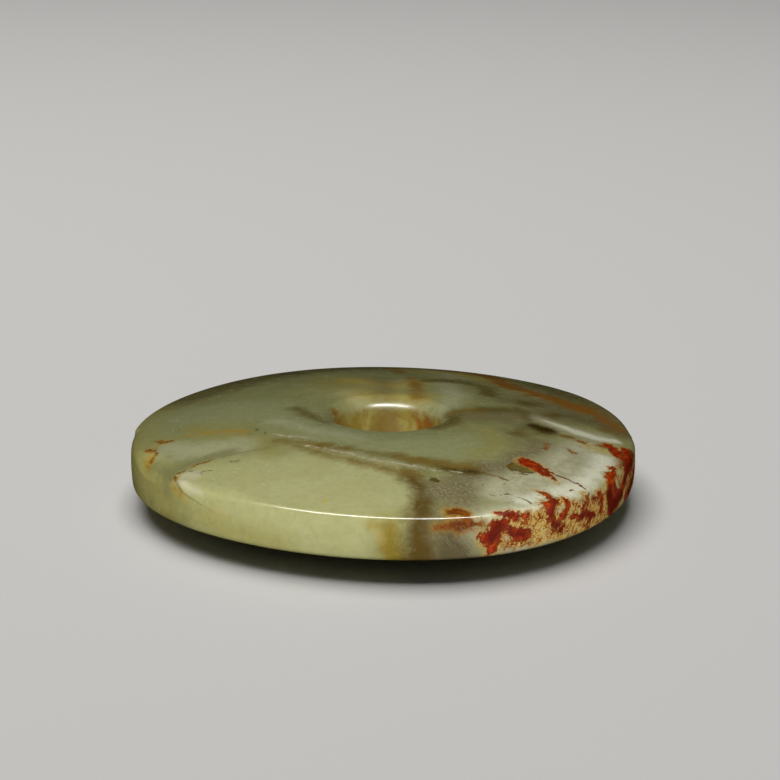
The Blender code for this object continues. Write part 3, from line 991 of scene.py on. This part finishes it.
# A pale line along the crease, on the face and down the edge: a painted highlight where the step's upper
# edge catches the light.
crease_painted_highlight = fine_line(
    0.13, 0.13,
    face((-0.7, -0.497), (-0.655, -0.482), (-0.605, -0.465), (-0.57, -0.457)),
    edge((-139.0, 0.036), (-135.0, 0.06), (-131.0, 0.068), (-126.5, 0.07)))
colour = tinted(colour, (0.60, 0.56, 0.34), 0.5, crease_painted_highlight)

ochre_line = fine_line(
    0.55, 0.45,
    face((-0.885, -0.205), (-0.862, -0.228), (-0.828, -0.226)),
    face((-0.912, -0.282), (-0.885, -0.3), (-0.878, -0.33), (-0.905, -0.362)),
    face((-0.798, -0.612), (-0.8, -0.58), (-0.79, -0.556), (-0.765, -0.547)),
    face((-0.73, -0.512), (-0.708, -0.5), (-0.67, -0.486)),
    face((0.622, -0.312), (0.612, -0.34), (0.602, -0.362)),
    face((0.692, -0.315), (0.702, -0.328), (0.72, -0.352)))
ochre_glow = fine_line(
    0.8, 0.7,
    face((-0.85, -0.225), (-0.885, -0.262), (-0.905, -0.318), (-0.925, -0.37)),
    edge((-144.0, 0.022), (-142.5, 0.04), (-140.5, 0.048)),
    face((-0.885, -0.21), (-0.828, -0.226), (-0.775, -0.205), (-0.735, -0.192),
         (-0.62, -0.212), (-0.54, -0.245)),
    face((-0.735, -0.512), (-0.69, -0.492)),
    face((-0.905, -0.29), (-0.89, -0.345)),
    face((-0.798, -0.6), (-0.785, -0.556)))
ochre_glow = times(times(ochre_glow, 0.85), eased(small, 0.36, 0.54))
colour = laid(ochre_glow, colour, (0.42, 0.29, 0.050))
broken_ochre = times(ochre_line, eased(fine, 0.32, 0.46))
ochre_tone = laid(eased(fine, 0.46, 0.56), (0.36, 0.130, 0.008), (0.17, 0.060, 0.006))
colour = tinted(colour, ochre_tone, 0.95, broken_ochre)

crack = fine_line(
    0.32, 0.16,
    face((0.555, -0.535), (0.61, -0.572), (0.66, -0.6), (0.71, -0.632), (0.735, -0.655)),
    edge((-41.7, 0.0), (-42.5, 0.028), (-44.2, 0.06)),
    face((0.59, -0.555), (0.61, -0.6), (0.622, -0.632)),
    face((0.672, -0.688), (0.678, -0.684)), least=0.8)
colour = tinted(colour, (0.22, 0.030, 0.004), 0.95, crack)

striae = cloud(0.26, 2.0, 0.5, 0.0, stretch=12.0, turn=15.0, lift=-52.0, seed=14.0)
wheel_marks = stain("striated", 1.5, (3.0, middle))
colour = tinted(colour, (0.38, 0.35, 0.23), 0.35, times(eased(striae, 0.50, 0.66), wheel_marks))

olive_line = fine_line(
    0.26, 0.16,
    face((0.355, -0.642), (0.395, -0.66), (0.44, -0.68)),
    face((0.46, -0.545), (0.452, -0.585), (0.475, -0.62), (0.515, -0.615)),
    face((0.425, -0.785), (0.45, -0.787)),
    face((0.47, -0.8), (0.495, -0.808), (0.515, -0.832)),
    face((0.375, -0.803), (0.385, -0.806)), least=0.6)
colour = tinted(colour, (0.19, 0.105, 0.012), 0.85, olive_line)

yellow_mark = fine_line(
    0.2, 0.14,
    face((-0.235, -0.885), (-0.222, -0.893)),
    face((-0.225, -0.88), (-0.228, -0.905)),
    face((-0.03, -0.975), (-0.028, -0.985)))
colour = tinted(colour, (0.60, 0.45, 0.06), 0.85, yellow_mark)

smoky = fine_line(
    0.20, 0.16,
    face((-0.745, -0.552), (-0.715, -0.572), (-0.7, -0.59), (-0.688, -0.6)),
    face((-0.7, -0.59), (-0.685, -0.58), (-0.66, -0.582)),
    face((-0.595, -0.52), (-0.575, -0.53), (-0.56, -0.525)),
    face((-0.508, -0.225), (-0.505, -0.25)),
    face((-0.476, -0.265), (-0.474, -0.29)))
smoky_glow = fine_line(
    0.6, 0.6,
    face((-0.508, -0.225), (-0.505, -0.25)),
    face((-0.535, -0.265), (-0.52, -0.28)),
    face((-0.59, -0.525), (-0.565, -0.532)))
colour = tinted(colour, (0.20, 0.19, 0.11), 0.45, smoky_glow)
colour = tinted(colour, (0.10, 0.10, 0.065), 0.9, smoky)

# The whole stone a little uneven, finely and broadly
colour = tinted(colour, (0.05, 0.045, 0.02), 0.10, eased(small, 0.62, 0.35))
links.new(colour, shader.inputs["Base Color"])

# The polish: waxy, duller in the specks and the stains
roughness = eased(middle, 0.3, 0.7, 0.17, 0.27)
roughness = worked('ADD', roughness, times(russet, 0.06))
roughness = worked('ADD', roughness, times(eased(fine, 0.5, 0.75), 0.05))
roughness = worked('ADD', roughness, times(stain("bore", 3.0), 0.16))
links.new(roughness, shader.inputs["Roughness"])

RELIEF_STRENGTH = 0.05
RELIEF_HEIGHT = 0.0001
relief = cloud(2.6, 1.0, 0.4, seed=16.0)
relief = worked('SUBTRACT', relief, times(deep, 0.35))
relief = worked('ADD', relief, times(times(striae, wheel_marks), 5.0))
glitter = stain("speckled", 2.0, (4.0, middle))
relief = worked('ADD', relief, times(times(fine, glitter), 2.0))
bump = nodes.new("ShaderNodeBump")
set_values(bump, {"Strength": RELIEF_STRENGTH, "Distance": RELIEF_HEIGHT})
links.new(relief, bump.inputs["Height"])
links.new(bump.outputs[0], shader.inputs["Normal"])

disc.data.materials.append(jade)
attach(disc, "root")
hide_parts("jade_disc")

# The floor
# A plain pale sheet that the disc lies on, wide enough to fill the view behind it.
FLOOR_SIDE = 8.0
PAPER_COLOUR = (0.66, 0.65, 0.63)
PAPER_ROUGHNESS = 0.8
PAPER_GLINT = 0.2

floor_mesh = bpy.data.meshes.new("pale_floor")
half_side = FLOOR_SIDE / 2
corners = [(x * half_side, y * half_side, 0.0) for x, y in ((-1, -1), (1, -1), (1, 1), (-1, 1))]
floor_mesh.from_pydata(corners, [], [(0, 1, 2, 3)])
floor = bpy.data.objects.new("pale_floor", floor_mesh)
bpy.context.scene.collection.objects.link(floor)
paper = bpy.data.materials.new("pale_paper")
paper.use_nodes = True
set_values(paper.node_tree.nodes["Principled BSDF"], {
    "Base Color": (*PAPER_COLOUR, 1.0),
    "Roughness": PAPER_ROUGHNESS,
    "Specular IOR Level": PAPER_GLINT,
})
floor.data.materials.append(paper)

# The light
# One long soft lamp in front, a bright strip just below it that only glints in the polish, a lamp over the
# floor that lights nothing else, and a dim room round them.
KEY_POWER = 2.35
KEY_SIZE = (0.80, 0.14)
KEY_PLACE = Vector((-0.05, -0.33, 0.30))
GLINT_POWER = 8.0
GLINT_SIZE = (0.62, 0.060)
GLINT_PLACE = Vector((-0.03, -0.36, 0.25))
FLOOR_LIGHT_POWER = 33.0
FLOOR_LIGHT_SIZE = (1.6, 1.6)
FLOOR_LIGHT_PLACE = Vector((-0.3, 0.2, 1.8))
ROOM_LIGHT = 0.06


def soft_lamp(name, where, towards, size, power, lit_object):
    lamp = bpy.data.lights.new(name, 'AREA')
    lamp.shape = 'RECTANGLE'
    lamp.size = size[0]
    lamp.size_y = size[1]
    lamp.energy = power
    holder = bpy.data.objects.new(name, lamp)
    holder.location = where
    holder.rotation_euler = (towards - where).to_track_quat('-Z', 'Y').to_euler()
    bpy.context.scene.collection.objects.link(holder)
    lit = bpy.data.collections.new(name + "_falls_on")
    lit.objects.link(lit_object)
    holder.light_linking.receiver_collection = lit
    return holder


disc_middle = Vector((0.0, 0.0, EDGE_HEIGHT))
soft_lamp("key_light", KEY_PLACE, disc_middle, KEY_SIZE, KEY_POWER, disc)
glint_light = soft_lamp("glint_light", GLINT_PLACE, disc_middle, GLINT_SIZE, GLINT_POWER, disc)
glint_light.visible_diffuse = False
under_floor_light = Vector((FLOOR_LIGHT_PLACE.x, FLOOR_LIGHT_PLACE.y, 0.0))
soft_lamp("floor_light", FLOOR_LIGHT_PLACE, under_floor_light, FLOOR_LIGHT_SIZE, FLOOR_LIGHT_POWER, floor)
floor.visible_glossy = False

world = bpy.data.worlds.new("dim_room")
world.use_nodes = True
set_values(world.node_tree.nodes["Background"], {"Color": (1.0, 1.0, 1.0, 1.0), "Strength": ROOM_LIGHT})
world.cycles_visibility.glossy = False
bpy.context.scene.world = world
bpy.context.scene.view_settings.view_transform = 'Standard'

# The camera
# Set where the photograph's stood: low over the front rim, a long lens half a metre off.
CAMERA_DISTANCE = 9.0 * RADIUS
CAMERA_HEIGHT_ANGLE = 0.321991524
CAMERA_PAN = 0.00108101
CAMERA_TILT = 0.0372086
CAMERA_ROLL = 0.00426311
NEAREST_SEEN = 0.01
SENSOR_WIDTH = 36.0
IMAGE_WIDTH = 780.0
FOCAL_PIXELS = 2239.507

aimed_at = Vector((0.0, 0.0, UNDERSIDE_DROP))
backward = Vector((0.0, -math.cos(CAMERA_HEIGHT_ANGLE), math.sin(CAMERA_HEIGHT_ANGLE)))
stand = aimed_at + CAMERA_DISTANCE * backward
forward = (aimed_at - stand).normalized()
right = Vector((1.0, 0.0, 0.0))
up = right.cross(forward)
forward = (forward + CAMERA_PAN * right + CAMERA_TILT * up).normalized()
right = forward.cross(Vector((0.0, 0.0, 1.0))).normalized()
up = right.cross(forward)
rolled_right = right * math.cos(CAMERA_ROLL) + up * math.sin(CAMERA_ROLL)
rolled_up = up * math.cos(CAMERA_ROLL) - right * math.sin(CAMERA_ROLL)

camera_data = bpy.data.cameras.new("camera")
camera_data.sensor_width = SENSOR_WIDTH
camera_data.lens = FOCAL_PIXELS / IMAGE_WIDTH * SENSOR_WIDTH
camera_data.clip_start = NEAREST_SEEN
camera = bpy.data.objects.new("camera", camera_data)
turn = Matrix((rolled_right, rolled_up, -forward)).transposed().to_4x4()
camera.matrix_world = Matrix.Translation(stand) @ turn
bpy.context.scene.collection.objects.link(camera)
bpy.context.scene.camera = camera
